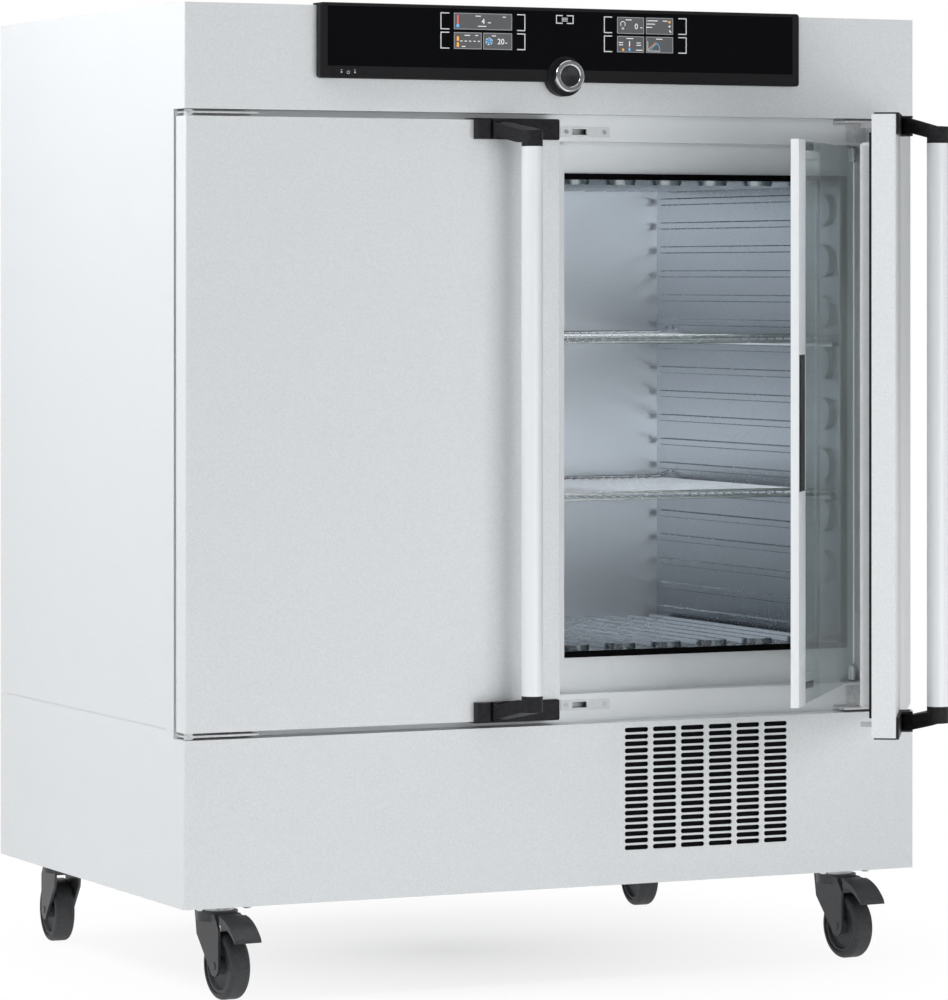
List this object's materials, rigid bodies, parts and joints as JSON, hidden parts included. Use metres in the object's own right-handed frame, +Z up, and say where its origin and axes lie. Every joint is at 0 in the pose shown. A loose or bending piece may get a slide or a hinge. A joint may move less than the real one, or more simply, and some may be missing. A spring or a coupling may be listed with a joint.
{
  "type": "cooling incubator",
  "caption": "Floor-standing refrigerated incubator: white cabinet with solid outer doors over glass inner doors, ribbed steel chamber with wire shelves, control strip and locking casters.",
  "frame": {"origin": "on the floor under the centre of the casing", "axes": "+X to the right seen from the front, +Y to the back, +Z up; the doors' front faces look along -Y"},
  "size_m": [1.2263, 1.3193, 1.468],
  "materials": {
    "white_enamel": "fine grained powder coat, semi-gloss",
    "galvanised_sheet": "zinc coated, dull",
    "stainless_liner": "brushed stainless",
    "shelf_wire": "bright electro-polished wire",
    "hinge_steel": "light grey coated steel",
    "black_plastic": "black, fine texture",
    "handle_metal": "light silver, satin",
    "black_rubber": "soft matt rubber",
    "grey_gasket": "soft grey seal",
    "door_lining": "white moulded panel over foam",
    "foam": "rigid foam",
    "glass_door_metal": "grey anodised",
    "door_glass": "clear toughened glass, faint green tint",
    "panel_glass": "black gloss",
    "knob_chrome": "bright satin chrome",
    "knob_cap": "black gloss",
    "latch_steel": "plain steel",
    "fan_plastic": "dark moulded",
    "motor_metal": "dark enamel",
    "coil_aluminium": "bare fins",
    "caster_steel": "zinc plated",
    "caster_grey": "dark grey moulded",
    "caster_tyre": "grey soft tyre on plastic hub"
  },
  "bodies": {
    "cabinet": {"side_panels": "white_enamel", "top_cover": "white_enamel", "rear_panel": "white_enamel", "base_pan": "galvanised_sheet", "front_fascia": "white_enamel", "plinth_grille": "white_enamel", "door_frame": "white_enamel", "hinge_leaves": "hinge_steel", "latch_keepers": "galvanised_sheet", "chamber_seal": "black_rubber", "liner_side_walls": "stainless_liner", "liner_floor_and_ceiling": "stainless_liner", "liner_back_wall": "stainless_liner", "insulation": "foam", "fan_motor": "motor_metal", "evaporator": "coil_aluminium", "compressor": "motor_metal", "condenser": "coil_aluminium", "control_unit": "black_plastic", "mains_inlet": "black_plastic", "panel_bezel": "black_plastic", "panel_glass": "panel_glass", "caster_plates": "caster_steel"},
    "circulation_fan": {"fan_impeller": "fan_plastic"},
    "cooling_fan": {"condenser_fan": "fan_plastic"},
    "selector_ring": {"knob_ring": "knob_chrome"},
    "selector_button": {"knob_button": "knob_cap"},
    "standby": {"standby_key": "black_plastic"},
    "upper_rack": {"upper_shelf": "shelf_wire"},
    "lower_rack": {"lower_shelf": "shelf_wire"},
    "left_door": {"left_door_skin": "white_enamel", "left_door_inner_panel": "door_lining", "left_door_gasket": "grey_gasket", "left_handle_bases": "black_plastic"},
    "left_handle": {"left_handle_arms": "black_plastic", "left_handle_tube": "handle_metal"},
    "left_latch": {"left_latch_hooks": "latch_steel"},
    "left_glass_door": {"left_glass_frame": "glass_door_metal", "left_glass_pane": "door_glass", "left_glass_grip": "black_plastic"},
    "right_door": {"right_door_skin": "white_enamel", "right_door_inner_panel": "door_lining", "right_door_gasket": "grey_gasket", "right_handle_bases": "black_plastic"},
    "right_handle": {"right_handle_arms": "black_plastic", "right_handle_tube": "handle_metal"},
    "right_latch": {"right_latch_hooks": "latch_steel"},
    "right_glass_door": {"right_glass_frame": "glass_door_metal", "right_glass_pane": "door_glass", "right_glass_grip": "black_plastic"},
    "front_left_swivel": {"front_left_fork": "caster_grey"},
    "front_left_roller": {"front_left_wheel": "caster_tyre"},
    "front_left_brake": {"front_left_brake_pedal": "caster_grey"},
    "front_right_swivel": {"front_right_fork": "caster_grey"},
    "front_right_roller": {"front_right_wheel": "caster_tyre"},
    "front_right_brake": {"front_right_brake_pedal": "caster_grey"},
    "rear_left_swivel": {"rear_left_fork": "caster_grey"},
    "rear_left_roller": {"rear_left_wheel": "caster_tyre"},
    "rear_right_swivel": {"rear_right_fork": "caster_grey"},
    "rear_right_roller": {"rear_right_wheel": "caster_tyre"}
  },
  "joints": [
    {"name": "left_outer_door_hinge", "type": "hinge", "parent": "cabinet", "child": "left_door", "pos_m": [-0.6, -0.38, 0.8485], "axis": [0, 0, -1], "range_deg": [0, 105]},
    {"name": "left_glass_door_hinge", "type": "hinge", "parent": "cabinet", "child": "left_glass_door", "pos_m": [-0.538, -0.329, 0.8495], "axis": [0, 0, -1], "range_deg": [0, 93.64]},
    {"name": "left_handle_pivot", "type": "hinge", "parent": "left_door", "child": "left_handle", "pos_m": [-0.114, -0.405, 0.8485], "axis": [0, 0, -1], "range_deg": [-10, 20]},
    {"name": "left_latch_slide", "type": "slide", "parent": "left_door", "child": "left_latch", "axis": [-1, 0, 0], "range_m": [-0.0101, 0.0051]},
    {"name": "right_outer_door_hinge", "type": "hinge", "parent": "cabinet", "child": "right_door", "pos_m": [0.6, -0.38, 0.8485], "axis": [0, 0, 1], "range_deg": [-57.75, 47.25]},
    {"name": "right_glass_door_hinge", "type": "hinge", "parent": "cabinet", "child": "right_glass_door", "pos_m": [0.538, -0.329, 0.8495], "axis": [0, 0, 1], "range_deg": [-51.5, 42.14]},
    {"name": "right_handle_pivot", "type": "hinge", "parent": "right_door", "child": "right_handle", "pos_m": [0.36181, -0.80436, 0.8485], "axis": [0, 0, 1], "range_deg": [-10, 20]},
    {"name": "right_latch_slide", "type": "slide", "parent": "right_door", "child": "right_latch", "axis": [0.5336, 0.8457, 0], "range_m": [-0.0101, 0.0051]},
    {"name": "selector_turn", "type": "hinge", "parent": "cabinet", "child": "selector_ring", "pos_m": [0, -0.416, 1.365], "axis": [0, -1, 0], "continuous": true},
    {"name": "selector_press", "type": "slide", "parent": "cabinet", "child": "selector_button", "axis": [0, 1, 0], "range_m": [0, 0.0015], "stiffness_N_per_m": 300, "springref_m": -0.002},
    {"name": "standby_press", "type": "slide", "parent": "cabinet", "child": "standby", "axis": [0, 1, 0], "range_m": [0, 0.001], "stiffness_N_per_m": 300, "springref_m": -0.001},
    {"name": "upper_shelf_slide", "type": "slide", "parent": "cabinet", "child": "upper_rack", "axis": [0, 1, 0], "range_m": [-0.01, 0.04]},
    {"name": "lower_shelf_slide", "type": "slide", "parent": "cabinet", "child": "lower_rack", "axis": [0, 1, 0], "range_m": [-0.01, 0.04]},
    {"name": "circulation_fan_spin", "type": "hinge", "parent": "cabinet", "child": "circulation_fan", "pos_m": [0, 0.32, 0.852], "axis": [0, 1, 0], "continuous": true},
    {"name": "cooling_fan_spin", "type": "hinge", "parent": "cabinet", "child": "cooling_fan", "pos_m": [0.2474, -0.26, 0.262], "axis": [0, 1, 0], "continuous": true},
    {"name": "front_left_swivel_turn", "type": "hinge", "parent": "cabinet", "child": "front_left_swivel", "pos_m": [-0.524, -0.304, 0.13], "axis": [0, 0, 1], "continuous": true},
    {"name": "front_left_wheel_roll", "type": "hinge", "parent": "front_left_swivel", "child": "front_left_roller", "pos_m": [-0.5217, -0.33692, 0.05], "axis": [0.9976, 0.0698, 0], "continuous": true},
    {"name": "front_left_brake_press", "type": "hinge", "parent": "front_left_swivel", "child": "front_left_brake", "pos_m": [-0.52128, -0.34291, 0.118], "axis": [0.9976, 0.0698, 0], "range_deg": [0, 8]},
    {"name": "front_right_swivel_turn", "type": "hinge", "parent": "cabinet", "child": "front_right_swivel", "pos_m": [0.524, -0.304, 0.13], "axis": [0, 0, 1], "continuous": true},
    {"name": "front_right_wheel_roll", "type": "hinge", "parent": "front_right_swivel", "child": "front_right_roller", "pos_m": [0.5263, -0.33692, 0.05], "axis": [0.9976, 0.0698, 0], "continuous": true},
    {"name": "front_right_brake_press", "type": "hinge", "parent": "front_right_swivel", "child": "front_right_brake", "pos_m": [0.52672, -0.34291, 0.118], "axis": [0.9976, 0.0698, 0], "range_deg": [0, 8]},
    {"name": "rear_left_swivel_turn", "type": "hinge", "parent": "cabinet", "child": "rear_left_swivel", "pos_m": [-0.524, 0.344, 0.13], "axis": [0, 0, 1], "continuous": true},
    {"name": "rear_left_wheel_roll", "type": "hinge", "parent": "rear_left_swivel", "child": "rear_left_roller", "pos_m": [-0.5217, 0.37692, 0.05], "axis": [-0.9976, 0.0698, 0], "continuous": true},
    {"name": "rear_right_swivel_turn", "type": "hinge", "parent": "cabinet", "child": "rear_right_swivel", "pos_m": [0.524, 0.344, 0.13], "axis": [0, 0, 1], "continuous": true},
    {"name": "rear_right_wheel_roll", "type": "hinge", "parent": "rear_right_swivel", "child": "rear_right_roller", "pos_m": [0.5263, 0.37692, 0.05], "axis": [-0.9976, 0.0698, 0], "continuous": true}
  ],
  "couplings": [
    {"joint": "left_glass_door_hinge", "follows": "left_outer_door_hinge", "ratio": 0.89177},
    {"joint": "left_latch_slide", "follows": "left_handle_pivot", "m_per_rad": -0.02865},
    {"joint": "right_glass_door_hinge", "follows": "right_outer_door_hinge", "ratio": 0.89177},
    {"joint": "right_latch_slide", "follows": "right_handle_pivot", "m_per_rad": -0.02865}
  ]
}
